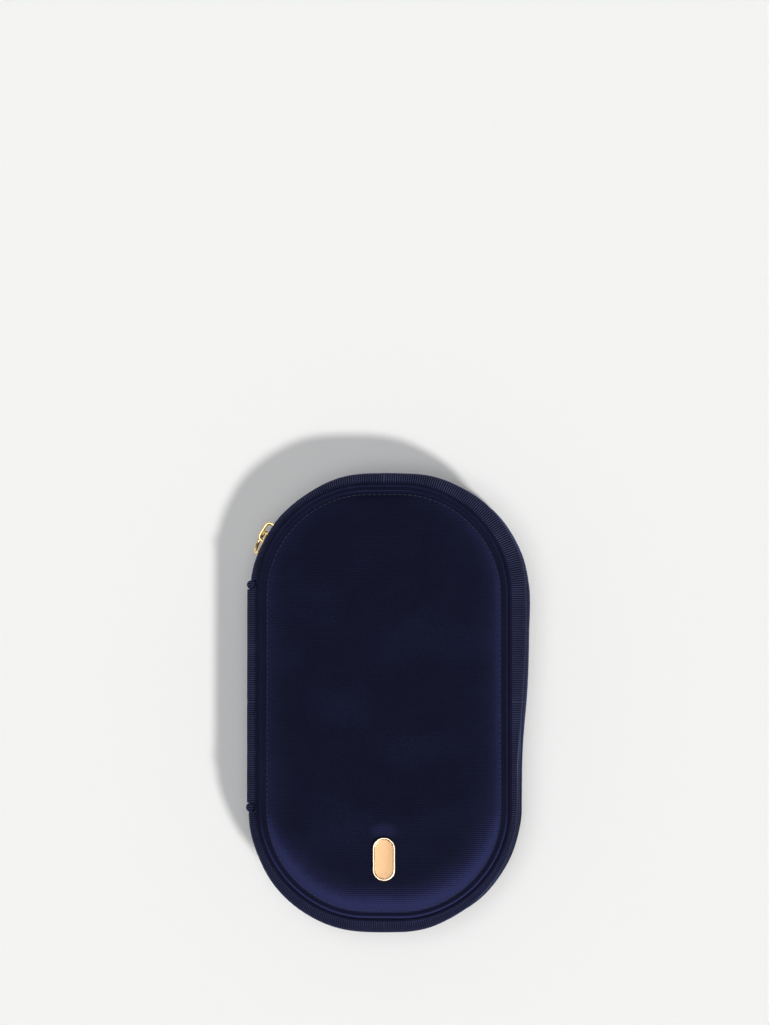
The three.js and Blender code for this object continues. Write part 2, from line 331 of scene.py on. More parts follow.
def brushedLining(name):
    recipe = Recipe(name, Roughness=0.85, Sheen_Weight=0.25, Sheen_Tint=(0.6, 0.66, 1.0),
                    Sheen_Roughness=0.5, Specular_IOR_Level=0.15)
    fibre = recipe.noise(0.5, 3, 0.65, (1, 0.3, 1))
    cloud = recipe.noise(7, 2)
    recipe.feed("Base Color", recipe.mixed(fibre * 0.6 + cloud * 0.4, (0.010, 0.011, 0.022),
                                           (0.028, 0.031, 0.055)))
    return recipe.bump(fibre, 0.08, 0.7)


def flockedTray(name):
    recipe = Recipe(name, Roughness=0.92, Sheen_Weight=0.35, Sheen_Tint=(0.55, 0.62, 1.0),
                    Sheen_Roughness=0.4, Specular_IOR_Level=0.1)
    grain = recipe.noise(0.3, 2, 0.8)
    cloud = recipe.noise(11, 3)
    recipe.feed("Base Color", recipe.mixed(grain * 0.5 + cloud * 0.5, (0.009, 0.010, 0.020),
                                           (0.024, 0.027, 0.050)))
    return recipe.bump(grain, 0.07, 0.6)


def paddingFoam(name):
    recipe = Recipe(name, Roughness=0.95)
    cells = recipe.node("ShaderNodeTexVoronoi", {}, {"Vector": recipe.place(), "Scale": 1 / (0.7 * mm)})
    recipe.feed("Base Color", recipe.mixed(cells, (0.03, 0.032, 0.04), (0.07, 0.073, 0.085)))
    return recipe.bump(cells, 0.12, 0.6)


def coveredBoard(name):
    recipe = Recipe(name, Roughness=0.8)
    fibre = recipe.noise(1.2, 4, 0.6, (1, 1, 0.2))
    recipe.feed("Base Color", recipe.mixed(fibre, (0.012, 0.013, 0.02), (0.03, 0.032, 0.044)))
    return recipe.bump(fibre, 0.05, 0.5)


def wovenTape(name):
    recipe = Recipe(name, Roughness=0.75, Sheen_Weight=0.2, Sheen_Tint=(0.6, 0.66, 1.0))
    x, y, z = recipe.axes()
    warp = (z * (2 * math.pi / (0.55 * mm))).sin()
    weft = ((recipe.around(47.6) + abs(z - zipHeight) * 0.8) * (2 * math.pi / (0.62 * mm))).sin()
    weave = (warp * weft) * 0.5 + 0.5
    recipe.feed("Base Color", recipe.mixed(weave * 0.7 + recipe.noise(2, 2) * 0.3,
                                           (0.004, 0.0045, 0.009), (0.016, 0.018, 0.034)))
    return recipe.bump(weave, 0.07, 0.8)


def nylon(name):
    recipe = Recipe(name, Roughness=0.35, Specular_IOR_Level=0.5)
    mottle = recipe.noise(1.5, 2)
    recipe.feed("Base Color", recipe.mixed(mottle, (0.006, 0.0065, 0.014), (0.014, 0.015, 0.03)))
    recipe.feed("Roughness", mottle * 0.2 + 0.25)
    return recipe.bump(recipe.noise(0.3, 2), 0.01, 0.4)


def polishedGold(name, tint=(0.88, 0.66, 0.30), roughness=0.16):
    recipe = Recipe(name, Metallic=1.0, Roughness=roughness)
    wear = recipe.noise(2.5, 4, 0.6)
    recipe.feed("Base Color", recipe.mixed(wear, tint, tuple(min(1, c * 1.12) for c in tint)))
    recipe.feed("Roughness", wear * 0.16 + (roughness - 0.06))
    return recipe.bump(recipe.noise(0.7, 3), 0.006, 0.35)


def brushedGold(name):
    recipe = Recipe(name, Metallic=1.0, Roughness=0.36)
    brush = recipe.noise(0.9, 4, 0.7, (8, 0.22, 1))
    recipe.feed("Base Color", recipe.mixed(brush, (0.74, 0.50, 0.29), (0.86, 0.60, 0.36)))
    recipe.feed("Roughness", brush * 0.1 + 0.66)
    return recipe.bump(brush, 0.02, 0.5)


def plainSteel(name):
    recipe = Recipe(name, Metallic=1.0, Roughness=0.35)
    swirl = recipe.noise(0.8, 3)
    recipe.feed("Base Color", recipe.mixed(swirl, (0.42, 0.43, 0.45), (0.62, 0.63, 0.65)))
    return recipe.bump(swirl, 0.01, 0.4)


def thread(name):
    recipe = Recipe(name, Roughness=0.6, Sheen_Weight=0.12, Sheen_Tint=(0.6, 0.66, 1.0),
                    Specular_IOR_Level=0.2)
    x, y, z = recipe.axes()
    ply = ((x + y + z) * (2 * math.pi / (0.3 * mm))).sin() * 0.5 + 0.5
    recipe.feed("Base Color", recipe.mixed(ply, (0.010, 0.011, 0.026), (0.026, 0.029, 0.058)))
    return recipe.bump(ply, 0.03, 0.8)


def knittedNet(name):
    recipe = Recipe(name, Roughness=0.7, Sheen_Weight=0.2)
    x, y, z = recipe.axes()
    pitch = 2 * math.pi / (2.6 * mm)
    first = abs(((x + y * 0.6) * pitch).sin())
    second = abs(((x - y * 0.6) * pitch).sin())
    strand = first.atMost(second)
    recipe.feed("Alpha", 1 - strand.over(0.42))
    recipe.feed("Base Color", recipe.mixed(strand, (0.03, 0.032, 0.055), (0.012, 0.013, 0.024)))
    return recipe.bump(1 - strand, 0.15, 0.8)


def paleFloor(name):
    value = view["floor"]
    recipe = Recipe(name, Roughness=0.95, Specular_IOR_Level=0.0)
    cloud = recipe.noise(600, 2)
    recipe.feed("Base Color", recipe.mixed(cloud, (value * 0.995,) * 3, (value,) * 3))
    return recipe.material


looks = {
    "velvetPanel": velvet("velvet_panel", "lines"),
    "velvetWall": velvet("velvet_wall", "ribs"),
    "velvetPlain": velvet("velvet_plain"),
    "badgeRim": polishedGold("badge_rim_gold", (0.90, 0.70, 0.48), 0.32),
    "trim": trim("woven_trim"),
    "lining": brushedLining("brushed_lining"),
    "tray": flockedTray("flocked_tray"),
    "foam": paddingFoam("padding_foam"),
    "board": coveredBoard("covered_board"),
    "tape": wovenTape("zip_tape"),
    "coil": nylon("nylon_coil"),
    "gold": polishedGold("polished_gold"),
    "brushedAndPaintedLight": brushedGold("brushed_gold"),
    "steel": plainSteel("plain_steel"),
    "thread": thread("sewing_thread"),
    "net": knittedNet("knitted_net"),
    "floor": paleFloor("pale_floor"),
}
print("materials made")


# Making pieces

def finishPiece(name, bm, look, node=None, body=None, sharp=40, slot=None, extra=(), bending=False):
    bmesh.ops.remove_doubles(bm, verts=bm.verts, dist=1e-6)
    bmesh.ops.recalc_face_normals(bm, faces=bm.faces)
    for face in bm.faces:
        face.smooth = True
    for edge in bm.edges:
        if len(edge.link_faces) == 2 and edge.calc_face_angle(0) > math.radians(sharp):
            edge.smooth = False
    mesh = bpy.data.meshes.new(name)
    bm.to_mesh(mesh)
    bm.free()
    for key in (look, *extra):
        mesh.materials.append(looks[key])
    piece = bpy.data.objects.new(name, mesh)
    bpy.context.scene.collection.objects.link(piece)
    if (body or node) and not bending:
        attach(piece, body or bodyOf[node])
    if node:
        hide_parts(node)
        slot or slotOf[node]
    return piece


def sweep(profile, hingeSide=None, loop=True, cornerSteps=24, rows=33, shift=(cornerX, cornerY)):
    # Turns a profile of (radius, height) in mm about Z and pulls the quarters apart, so that it
    # follows the rounded rectangle. hingeSide leaves a gap there between two places along Y, in mm.
    bm = bmesh.new()
    step = math.pi / 2 / cornerSteps
    verts = [bm.verts.new((max(r, 0.001) * mm * math.cos(step / 2), max(r, 0.001) * mm * math.sin(step / 2),
                           z * mm)) for r, z in profile]
    pairs = list(zip(verts, verts[1:] + verts[:1])) if loop else list(zip(verts, verts[1:]))
    edges = [bm.edges.new(pair) for pair in pairs]
    bmesh.ops.spin(bm, geom=verts + edges, cent=(0, 0, 0), axis=(0, 0, 1), dvec=(0, 0, 0),
                   angle=2 * math.pi, space=Matrix(), steps=4 * cornerSteps, use_merge=True,
                   use_normal_flip=False, use_duplicate=False)
    for vert in bm.verts:
        x, y, z = vert.co
        r = math.hypot(x, y)
        turn = (math.atan2(abs(y), abs(x)) - step / 2) * (math.pi / 2) / (math.pi / 2 - step)
        corner = max(r - shift[0], 0)
        vert.co.x = math.copysign(min(r, shift[0]) + corner * math.cos(turn), x)
        vert.co.y = math.copysign(shift[1] + corner * math.sin(turn), y)
    bmesh.ops.remove_doubles(bm, verts=bm.verts, dist=4e-6)
    for i in range(1, rows):
        cutAcross(bm, "y", shift[1] * (2 * i / rows - 1))
    for i in range(1, 6):
        cutAcross(bm, "x", shift[0] * (2 * i / 6 - 1))
    if hingeSide:
        high, low = (place * mm for place in hingeSide)
        cutAcross(bm, "y", high)
        cutAcross(bm, "y", low)
        gone = [face for face in bm.faces
                if face.calc_center_median().x < 0 and low < face.calc_center_median().y < high]
        bmesh.ops.delete(bm, geom=gone, context="FACES")
        bmesh.ops.holes_fill(bm, edges=[edge for edge in bm.edges if len(edge.link_faces) == 1], sides=0)
    if shift[0]:
        for vert in bm.verts:
            vert.co.y += bowAt(*vert.co)
    return bm


bow = {"height": 0.7, "reach": 40}


def bowAt(x, y, z):
    # the short ends aren't flat: their middle stands out a little, but not along the zip
    level = min(1, 0.08 + abs(z - zipHeight) / (12 * mm))
    across = max(0, 1 - (x / (bow["reach"] * mm)) ** 2)
    outer = min(1, max(0, (abs(y) - cornerY) / (20 * mm)))
    return math.copysign(bow["height"] * mm * across ** 2 * outer * level, y)


def cutAcross(bm, axis, place):
    everything = bm.verts[:] + bm.edges[:] + bm.faces[:]
    point = (place, 0, 0) if axis == "x" else (0, place, 0)
    direction = (1, 0, 0) if axis == "x" else (0, 1, 0)
    bmesh.ops.bisect_plane(bm, geom=everything, dist=1e-7, plane_co=point, plane_no=direction)


class Route:
    # the rounded rectangle at one radius, in mm, walked clockwise from a place on the hinge side
    def __init__(self, radius, startAngle=180.0, startY=0.0):
        corner = radius - cornerX / mm
        legs = [(math.radians(startAngle - 90) * corner, -cornerX / mm, cornerY / mm, startAngle)]
        if startAngle == 180.0:
            legs.insert(0, (cornerY / mm - startY, -radius, startY, None, 90))
        legs.append((2 * cornerX / mm, -cornerX / mm, cornerY / mm + corner, None, 0))
        legs.append((math.pi / 2 * corner, cornerX / mm, cornerY / mm, 90))
        legs.append((2 * cornerY / mm, radius, cornerY / mm, None, -90))
        legs.append((math.pi / 2 * corner, cornerX / mm, -cornerY / mm, 0))
        legs.append((2 * cornerX / mm, cornerX / mm, -cornerY / mm - corner, None, 180))
        legs.append((math.pi / 2 * corner, -cornerX / mm, -cornerY / mm, -90))
        legs.append((cornerY / mm, -radius, -cornerY / mm, None, 90))
        self.legs = legs
        self.corner = corner
        self.length = sum(leg[0] for leg in legs)

    def at(self, distance):
        # the place, and the direction of travel in radians
        for leg in self.legs:
            if distance <= leg[0] or leg is self.legs[-1]:
                break
            distance -= leg[0]
        if len(leg) == 4:
            turn = math.radians(leg[3]) - distance / self.corner
            along, side = self.corner * math.cos(turn), self.corner * math.sin(turn)
            return Vector((leg[1] + along, leg[2] + side, 0)), turn - math.pi / 2
        heading = math.radians(leg[4])
        along, side = distance * math.cos(heading), distance * math.sin(heading)
        return Vector((leg[1] + along, leg[2] + side, 0)), heading


def quarter(widest, edge, steps=10):
    # quarter ellipse from a bulge's widest point to an edge
    return [(edge[0] + (widest[0] - edge[0]) * math.cos(turn),
             widest[1] + (edge[1] - widest[1]) * math.sin(turn))
            for turn in (math.pi / 2 * i / steps for i in range(steps + 1))]


def inset(outline, distance):
    moved = []
    for i, (r, z) in enumerate(outline):
        before, after = outline[max(i - 1, 0)], outline[min(i + 1, len(outline) - 1)]
        dr, dz = after[0] - before[0], after[1] - before[1]
        length = math.hypot(dr, dz)
        moved.append((r - distance * dz / length, z + distance * dr / length))
    return moved


def skin(outline, thickness):
    return outline + inset(outline, thickness)[::-1]


def bar(inner, outer, low, high, cut=0.15):
    # a band's cross-section with its corners taken off
    return [(inner + cut, low), (outer - cut, low), (outer, low + cut), (outer, high - cut),
            (outer - cut, high), (inner + cut, high), (inner, high - cut), (inner, low + cut)]


def circle(radius, z, tube, sides=20):
    return [(radius + tube * math.cos(2 * math.pi * i / sides), z + tube * math.sin(2 * math.pi * i / sides))
            for i in range(sides)]


def disc(radius, low, high, cut=0.3):
    return [(0, low), (radius - cut, low), (radius, low + cut), (radius, high - cut),
            (radius - cut, high), (0, high)]


def pushed(bm, amount, size, seed=0.0, along=None):
    # soft unevenness: moves each point along its normal, or along a fixed direction
    bm.normal_update()
    for vert in bm.verts:
        lift = noise.noise((vert.co / (size * mm)) + Vector((seed, seed * 2.3, 0)))
        vert.co += (Vector(along) if along else vert.normal) * (lift * amount * mm)


# Walls

wall = {
    "bulgeZ": (12.4, 38.2),  # base, lid
    "rimEnd": (47.4, 2.5, 44.8),  # radius, base height, lid height
    "zipEdge": (49.3, 22.3, 31.7),
    "thickness": 1.0,
    "ends": (45.5, -40.95),
    "lean": 1.35,  # the soft walls have settled a little askew under the lid
    "drawnIn": 1.8,  # and bulge less at the badge's end
    "unevenness": 0.35,
}
bulgeR = bulge / mm


def lean(bm, low, high):
    for vert in bm.verts:
        x, y, z = vert.co
        level = math.sin(math.pi * min(1, max(0, (z / mm - low) / (high - low))))
        lower = min(1, max(0, (20 - y / mm) / 55))
        lower = lower * lower * (3 - 2 * lower)
        drawn = wall["drawnIn"] * mm * lower * x / bulgeR / mm
        vert.co.x = x + level * (wall["lean"] * mm * math.tanh(y / cornerY) - drawn)
    return bm


baseOutline = (quarter((bulgeR, wall["bulgeZ"][0]), (wall["rimEnd"][0], wall["rimEnd"][1]))[::-1]
               + quarter((bulgeR, wall["bulgeZ"][0]), wall["zipEdge"][:2])[1:])
lidOutline = (quarter((bulgeR, wall["bulgeZ"][1]), (wall["zipEdge"][0], wall["zipEdge"][2]))[::-1]
              + quarter((bulgeR, wall["bulgeZ"][1]), (wall["rimEnd"][0], wall["rimEnd"][2]))[1:])

baseWall = lean(sweep(skin(baseOutline, wall["thickness"]), wall["ends"], cornerSteps=30),
                wall["rimEnd"][1], wall["zipEdge"][1])
pushed(baseWall, wall["unevenness"], 14, 3.1)
baseCloth = finishPiece("base_wall_cloth", baseWall, "velvetWall", "base_wall_velvet")
lidWall = lean(sweep(skin(lidOutline, wall["thickness"]), wall["ends"], cornerSteps=30),
               wall["zipEdge"][2], wall["rimEnd"][2])
pushed(lidWall, wall["unevenness"], 14, 7.7)
lidCloth = finishPiece("lid_wall_cloth", lidWall, "velvetWall", "lid_wall_velvet")


def paddingRing(outline, low, high):
    front = [(r, z) for r, z in inset(outline, wall["thickness"] + 0.5) if low < z < high and r > 48]
    return [(46.6, low), (front[0][0] - 0.8, low)] + front + [(front[-1][0] - 0.8, high), (46.6, high)]


basePadding = lean(sweep(paddingRing(baseOutline, 5.6, 19), wall["ends"]),
                   wall["rimEnd"][1], wall["zipEdge"][1])
finishPiece("base_wall_padding", basePadding, "foam", "base_wall_foam")
lidPadding = lean(sweep(paddingRing(lidOutline, 35, 43), wall["ends"]),
                  wall["zipEdge"][2], wall["rimEnd"][2])
finishPiece("lid_wall_padding", lidPadding, "foam", "lid_wall_foam")
print("walls made")


# Welts, bottom and lid cover

cover = {
    "edge": 46.3,
    "stitchRadius": 43.35,
    "stitchZ": 46.42,
    "crown": 48.2,
    "extraCrown": 0.22,
    "stitchPitch": 1.9,
    "stitchLength": 1.5,
    "threadRadius": 0.17,
}


def crownProfile():
    top = []
    for i in range(16):
        r = 30 * i / 15
        top.append((r, cover["crown"] + cover["extraCrown"] * (1 - (r / 36) ** 2)))
    for i in range(1, 15):
        t = i / 14
        r = 30 + (cover["stitchRadius"] - 30) * t
        fall = (1 - math.sqrt(max(0, 1 - t ** 3.2)))
        z = cover["crown"] + cover["extraCrown"] * (1 - (min(r, 36) / 36) ** 2)
        top.append((r, z - (z - cover["stitchZ"]) * fall))
    lip = [(43.6, 46.34), (44.1, 46.3), (44.8, 46.32), (45.4, 46.36), (45.9, 46.3), (46.2, 46.15),
           (cover["edge"], 45.9), (cover["edge"], 45.5), (42.2, 45.5), (41.5, 46.1), (39.2, 46.7),
           (36, 47.0), (0, 47.2)]
    return (top + lip)[::-1]


lidCover = sweep(crownProfile(), loop=False, cornerSteps=30)
pushed(lidCover, 0.16, 22, 1.7, along=(0, 0, 1))
finishPiece("padded_lid_cover", lidCover, "velvetPanel", "lid_cover")

finishPiece("lid_welt", sweep(circle(47.0, 46.0, 0.8), cornerSteps=30), "velvetPlain", "lid_rim_welt")
finishPiece("base_welt", sweep(circle(47, 1.3, 0.8), cornerSteps=30), "velvetPlain", "base_rim_welt")
bottomProfile = [(0, 0), (44.6, 0), (45.5, 0.2), (45.8, 0.6), (45.7, 1.0), (45.3, 1.2), (0, 1.2)]
finishPiece("bottom_cloth", sweep(bottomProfile, loop=False), "velvetPlain", "bottom_cover")


def stitchRow(name, radius, height, body):
    bm = bmesh.new()
    route = Route(radius)
    count = round(route.length / cover["stitchPitch"])
    for i in range(count):
        place, turn = route.at(route.length * i / count)
        place.y += bowAt(place.x * mm, place.y * mm, height * mm) / mm
        move = Matrix.Translation((place + Vector((0, 0, height))) * mm) @ Matrix.Rotation(turn, 4, "Z")
        shape = Matrix.Diagonal((cover["stitchLength"] / 2 * mm, cover["threadRadius"] * mm,
                                 cover["threadRadius"] * mm, 1))
        bmesh.ops.create_icosphere(bm, subdivisions=2, radius=1, matrix=move @ shape)
    return finishPiece(name, bm, "thread", body=body, slot="velvet_trim")


stitchRow("lid_stitches", cover["stitchRadius"], cover["stitchZ"] + 0.1, "lid")
print("lid cover, welts and stitches made")


# Fabric hinge

spine = {
    "low": -37.5,
    "high": 42.05,
    "waist": 50,
    "thickness": 1.0,
    "rollRadius": 1.68,
    "rollPlaces": {"upper": 43.75, "lower": -39.2},
    "bendReach": 9,
}


def spineOutline(steps=14):
    points = baseOutline[:11]
    low, high = wall["bulgeZ"]
    for i in range(1, 2 * steps):
        t = i / steps
        z = low + (high - low) * t / 2
        points.append((spine["waist"] + (bulgeR - spine["waist"]) * (0.5 + 0.5 * math.cos(math.pi * t)), z))
    return points + lidOutline[10:]


def behindEnd(y, radius):
    # how far the wall curves away from the straight side at this y, in mm
    corner = radius - cornerX / mm
    past = max(0, abs(y) - cornerY / mm)
    return corner - math.sqrt(corner * corner - past * past)


def spineSheet(outline, low, high, steps=56):
    bm = bmesh.new()
    verts = [bm.verts.new((-r * mm, low * mm, z * mm)) for r, z in outline]
    edges = [bm.edges.new(pair) for pair in zip(verts, verts[1:] + verts[:1])]
    for _ in range(steps):
        made = bmesh.ops.extrude_edge_only(bm, edges=edges)["geom"]
        edges = [g for g in made if isinstance(g, bmesh.types.BMEdge)]
        bmesh.ops.translate(bm, verts=[g for g in made if isinstance(g, bmesh.types.BMVert)],
                            vec=(0, (high - low) / steps * mm, 0))
    bmesh.ops.holes_fill(bm, edges=[e for e in bm.edges if len(e.link_faces) == 1], sides=0)
    for vert in bm.verts:
        vert.co.x += behindEnd(vert.co.y / mm, 50) * mm
    return bm


def bends(piece):
    pin = Vector(joints["lid_hinge"]["pos_m"])
    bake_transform(piece)


spinePanel = spineSheet(skin(spineOutline(), spine["thickness"]), spine["low"], spine["high"])
spinePanel.normal_update()
for vert in spinePanel.verts:
    waistNear = math.exp(-((vert.co.z - zipHeight) / (7 * mm)) ** 2)
    crease = noise.noise(Vector((0, vert.co.y / (16 * mm), vert.co.z / (2.6 * mm))))
    vert.co.x += crease * 0.45 * mm * waistNear
bends(finishPiece("spine_cloth", spinePanel, "velvetWall", "spine_panel", bending=True))
stripOutline = [(47.3, 19.3 + i * 15.4 / 16) for i in range(17)]
stripOutline += [(46.7, 34.7 - i * 15.4 / 16) for i in range(17)]
backStrip = spineSheet(stripOutline, spine["low"] + 1, spine["high"] - 1)
bends(finishPiece("spine_back_strip", backStrip, "lining", "spine_lining", bending=True))

for end, place in spine["rollPlaces"].items():
    centre = Vector((-49.9 + behindEnd(place, 49.9), place, 0)) * mm
    roll = bmesh.new()
    ring = bmesh.ops.create_circle(roll, cap_ends=False, radius=spine["rollRadius"] * mm, segments=20,
                                   matrix=Matrix.Translation(centre + Vector((0, 0, 3.2 * mm))))
    edges = list({edge for vert in ring["verts"] for edge in vert.link_edges})
    for _ in range(40):
        made = bmesh.ops.extrude_edge_only(roll, edges=edges)["geom"]
        edges = [g for g in made if isinstance(g, bmesh.types.BMEdge)]
        bmesh.ops.translate(roll, verts=[g for g in made if isinstance(g, bmesh.types.BMVert)],
                            vec=(0, 0, 41.2 / 40 * mm))
    bmesh.ops.holes_fill(roll, edges=[e for e in roll.edges if len(e.link_faces) == 1], sides=0)
    outline = spineOutline()
    for vert in roll.verts:
        height = vert.co.z / mm
        near = min(outline, key=lambda point: abs(point[1] - height))
        shrink = 0.55 + 0.45 * min(1, min(height - 3.2, 44.4 - height) / 1.6 + 0.2)
        away = vert.co - centre
        vert.co.x = centre.x + away.x * shrink + (spine["waist"] - near[0]) * mm * 0.15
        vert.co.y = centre.y + away.y * shrink
    bends(finishPiece(f"spine_roll_{end}_cloth", roll, "velvetWall", f"spine_roll_{end}", bending=True))
print("fabric hinge made")


# Zip

zipParts = {
    "tape": (47.3, 47.9),
    "tapeHeight": 7.2,
    "tapeEnds": (43.6, -38.6),
    "coilRadius": 48.8,
    "coilTube": 0.21,
    "coilSize": (0.42, 0.52),  # half width outward, half height
    "coilPitch": 1.25,
    "coilEnds": (143, 6),  # angle where it starts, and how far short of the hinge side's straight it stops
    "rowHeight": 1.15,
}


def coilPath(side):
    # a nylon spiral wound along the zip, as points of one curve
    route = Route(zipParts["coilRadius"], startAngle=zipParts["coilEnds"][0])
    length = route.length - cornerY / mm - zipParts["coilEnds"][1] + 3.2
    turns = round(length / zipParts["coilPitch"])
    perTurn = 10
    for i in range(turns * perTurn + 1):
        place, heading = route.at(length * i / (turns * perTurn))
        place.y += bowAt(place.x * mm, place.y * mm, zipHeight) / mm
        phase = 2 * math.pi * i / perTurn
        out = zipParts["coilSize"][0] * math.cos(phase)
        z = zipHeight / mm + side * (zipParts["rowHeight"] + zipParts["coilSize"][1] * math.sin(phase))
        yield place + Vector((-out * math.sin(heading), out * math.cos(heading), z))


def tubeAlong(name, points, radius, look, node, sides=1, cyclic=False):
    curve = bpy.data.curves.new(name, "CURVE")
    curve.dimensions = "3D"
    curve.bevel_depth = radius * mm
    curve.bevel_resolution = sides
    curve.use_fill_caps = True
    spline = curve.splines.new("POLY")
    points = list(points)
    spline.points.add(len(points) - 1)
    for target, point in zip(spline.points, points):
        target.co = (*(point * mm), 1)
    spline.use_cyclic_u = cyclic
    holder = bpy.data.objects.new(name, curve)
    bpy.context.scene.collection.objects.link(holder)
    bpy.context.view_layer.update()
    mesh = bpy.data.meshes.new_from_object(holder)
    bpy.data.objects.remove(holder)
    bm = bmesh.new()
    bm.from_mesh(mesh)
    bpy.data.meshes.remove(mesh)
    return finishPiece(name, bm, look, node, sharp=80)


for part, side in (("base", -1), ("lid", 1)):
    near, far = zipHeight / mm + side * 0.5, zipHeight / mm + side * (0.5 + zipParts["tapeHeight"])
    tape = sweep(bar(*zipParts["tape"], min(near, far), max(near, far), 0.2), zipParts["tapeEnds"])
    finishPiece(f"zip_tape_{part}_cloth", tape, "tape", f"zip_tape_{part}")
    tubeAlong(f"zip_coil_{part}_spiral", coilPath(side), zipParts["coilTube"], "coil", f"zip_coil_{part}")
    for which in ("start", "end"):
        low, high = lowHigh(f"zip_{which}_stop_{part}")
        stop = bmesh.new()
        angle = {"start": 161, "end": 183.6}[which]
        centre = (low + high) / 2
        size = Matrix.Diagonal((1.6 * mm, 1.6 * mm, 2 * mm, 1))
        bmesh.ops.create_cube(stop, size=1, matrix=Matrix.Translation(centre)
                              @ Matrix.Rotation(math.radians(angle), 4, "Z") @ size)
        bmesh.ops.bevel(stop, geom=stop.edges[:], offset=0.4 * mm, segments=3, affect="EDGES",
                        profile=0.5, material=-1)
        finishPiece(f"zip_{which}_stop_{part}_crimp", stop, "gold", f"zip_{which}_stop_{part}")
print("zip tapes, coils and stops made")


# Slider, bail and pull ring. Built with X along the zip, Y outward, then turned into place.

slider = {
    "angle": 148.2,
    "plates": ((45.65, 46.45, 1.0), (49.65, 50.45, 0.7)),  # inner face, outer face, share of the full height
    "bail": {"length": 8.6, "inner": 50.8, "outer": 55.0},
    "ring": {"radius": 4.4, "wire": 0.6, "tilt": 20, "swing": -5, "centre": 53},
}
toZip = (Matrix.Translation((-cornerX, cornerY, 0))
         @ Matrix.Rotation(math.radians(slider["angle"] - 90), 4, "Z")
         @ Matrix.Translation((0, -cornerX, 0)))


def sliderBody():
    bm = bmesh.new()
    for low, high, tall in slider["plates"]:
        # shield-shaped plate: wider at the front, waisted, with rounded corners
        shape = [(-4.85, 2.5), (-4.4, 3.1), (-1.0, 3.3), (1.5, 4.0), (4.0, 4.0), (4.85, 3.2)]
        loop = [(x, z) for x, z in shape] + [(x, -z) for x, z in shape[::-1]]
        verts = [bm.verts.new((x * mm, low * mm, zipHeight + z * tall * mm)) for x, z in loop]
        face = bm.faces.new(verts)
        top = bmesh.ops.extrude_face_region(bm, geom=[face])["geom"]
        bmesh.ops.translate(bm, verts=[g for g in top if isinstance(g, bmesh.types.BMVert)],
                            vec=(0, (high - low) * mm, 0))
    bmesh.ops.bevel(bm, geom=bm.edges[:], offset=0.22 * mm, segments=3, affect="EDGES", profile=0.5,
                    material=-1)
    blade = Matrix.Translation((0, 48.05 * mm, zipHeight)) @ Matrix.Diagonal((4 * mm, 3.6 * mm, 0.4 * mm, 1))
    bmesh.ops.create_cube(bm, size=1, matrix=blade)
    for side in (-1, 1):  # low feet under the bail
        foot = Matrix.Translation((side * 3.6 * mm, 50.5 * mm, zipHeight)) @ Matrix.Diagonal(
            (1.7 * mm, 0.3 * mm, 2.4 * mm, 1))
        bmesh.ops.create_cube(bm, size=1, matrix=foot)
    bmesh.ops.transform(bm, matrix=toZip, verts=bm.verts)
    return bm


def bailArch():
    shape = slider["bail"]
    path = []
    reach, rise = shape["length"] / 2 - 0.62, shape["outer"] - 0.62 - shape["inner"]
    for i in range(25):
        turn = math.pi * i / 24
        x = -reach * math.copysign(abs(math.cos(turn)) ** 0.4, math.cos(turn))
        y = shape["inner"] + 0.1 + rise * max(0, math.sin(turn)) ** 0.4
        path.append((x, y))
    bm = bmesh.new()
    last = None
    for i, (x, y) in enumerate(path):
        before, after = path[max(i - 1, 0)], path[min(i + 1, len(path) - 1)]
        turn = math.atan2(after[1] - before[1], after[0] - before[0])
        place = (toZip @ Matrix.Translation((x * mm, y * mm, zipHeight)) @ Matrix.Rotation(turn, 4, "Z")
                 @ Matrix.Rotation(math.pi / 2, 4, "Y") @ Matrix.Diagonal((1.3, 1.0, 1, 1)))
        made = bmesh.ops.create_circle(bm, cap_ends=False, radius=0.62 * mm, segments=16,
                                       matrix=place)["verts"]
        edges = list({edge for vert in made for edge in vert.link_edges})
        if last:
            bmesh.ops.bridge_loops(bm, edges=last + edges)
        last = edges
    bmesh.ops.holes_fill(bm, edges=[e for e in bm.edges if len(e.link_faces) == 1], sides=0)
    return bm


def pullRing():
    shape = slider["ring"]
    bm = bmesh.new()
    start = bmesh.ops.create_circle(bm, cap_ends=False, radius=shape["wire"] * mm, segments=20,
                                    matrix=Matrix.Translation((shape["radius"] * mm, 0, 0))
                                    @ Matrix.Rotation(math.pi / 2, 4, "X"))["verts"]
    edges = list({edge for vert in start for edge in vert.link_edges})
    bmesh.ops.spin(bm, geom=start + edges, cent=(0, 0, 0), axis=(0, 0, 1), dvec=(0, 0, 0), angle=2 * math.pi,
                   space=Matrix(), steps=64, use_merge=True, use_normal_flip=False, use_duplicate=False)
    place = (toZip @ Matrix.Translation((0, shape["centre"] * mm, zipHeight))
             @ Matrix.Rotation(-math.radians(shape["swing"]), 4, "Z")
             @ Matrix.Translation((-shape["radius"] * mm, 0, 0))
             @ Matrix.Rotation(math.pi / 2 + math.radians(shape["tilt"]), 4, "X"))
    bmesh.ops.transform(bm, matrix=place, verts=bm.verts)
    return bm


finishPiece("zip_slider_shell", sliderBody(), "gold", "slider_body", sharp=50)
finishPiece("zip_slider_bail", bailArch(), "gold", "slider_bail", sharp=60)
finishPiece("zip_pull_ring", pullRing(), "gold", "pull_ring", sharp=80)
print("slider and pull ring made")


# Badge

badge = {
    "width": 8.5,
    "length": 16.2,
    "low": 48.5,
    "rimHigh": 50.1,
    "field": 49.5,
    "rim": 0.85,
}


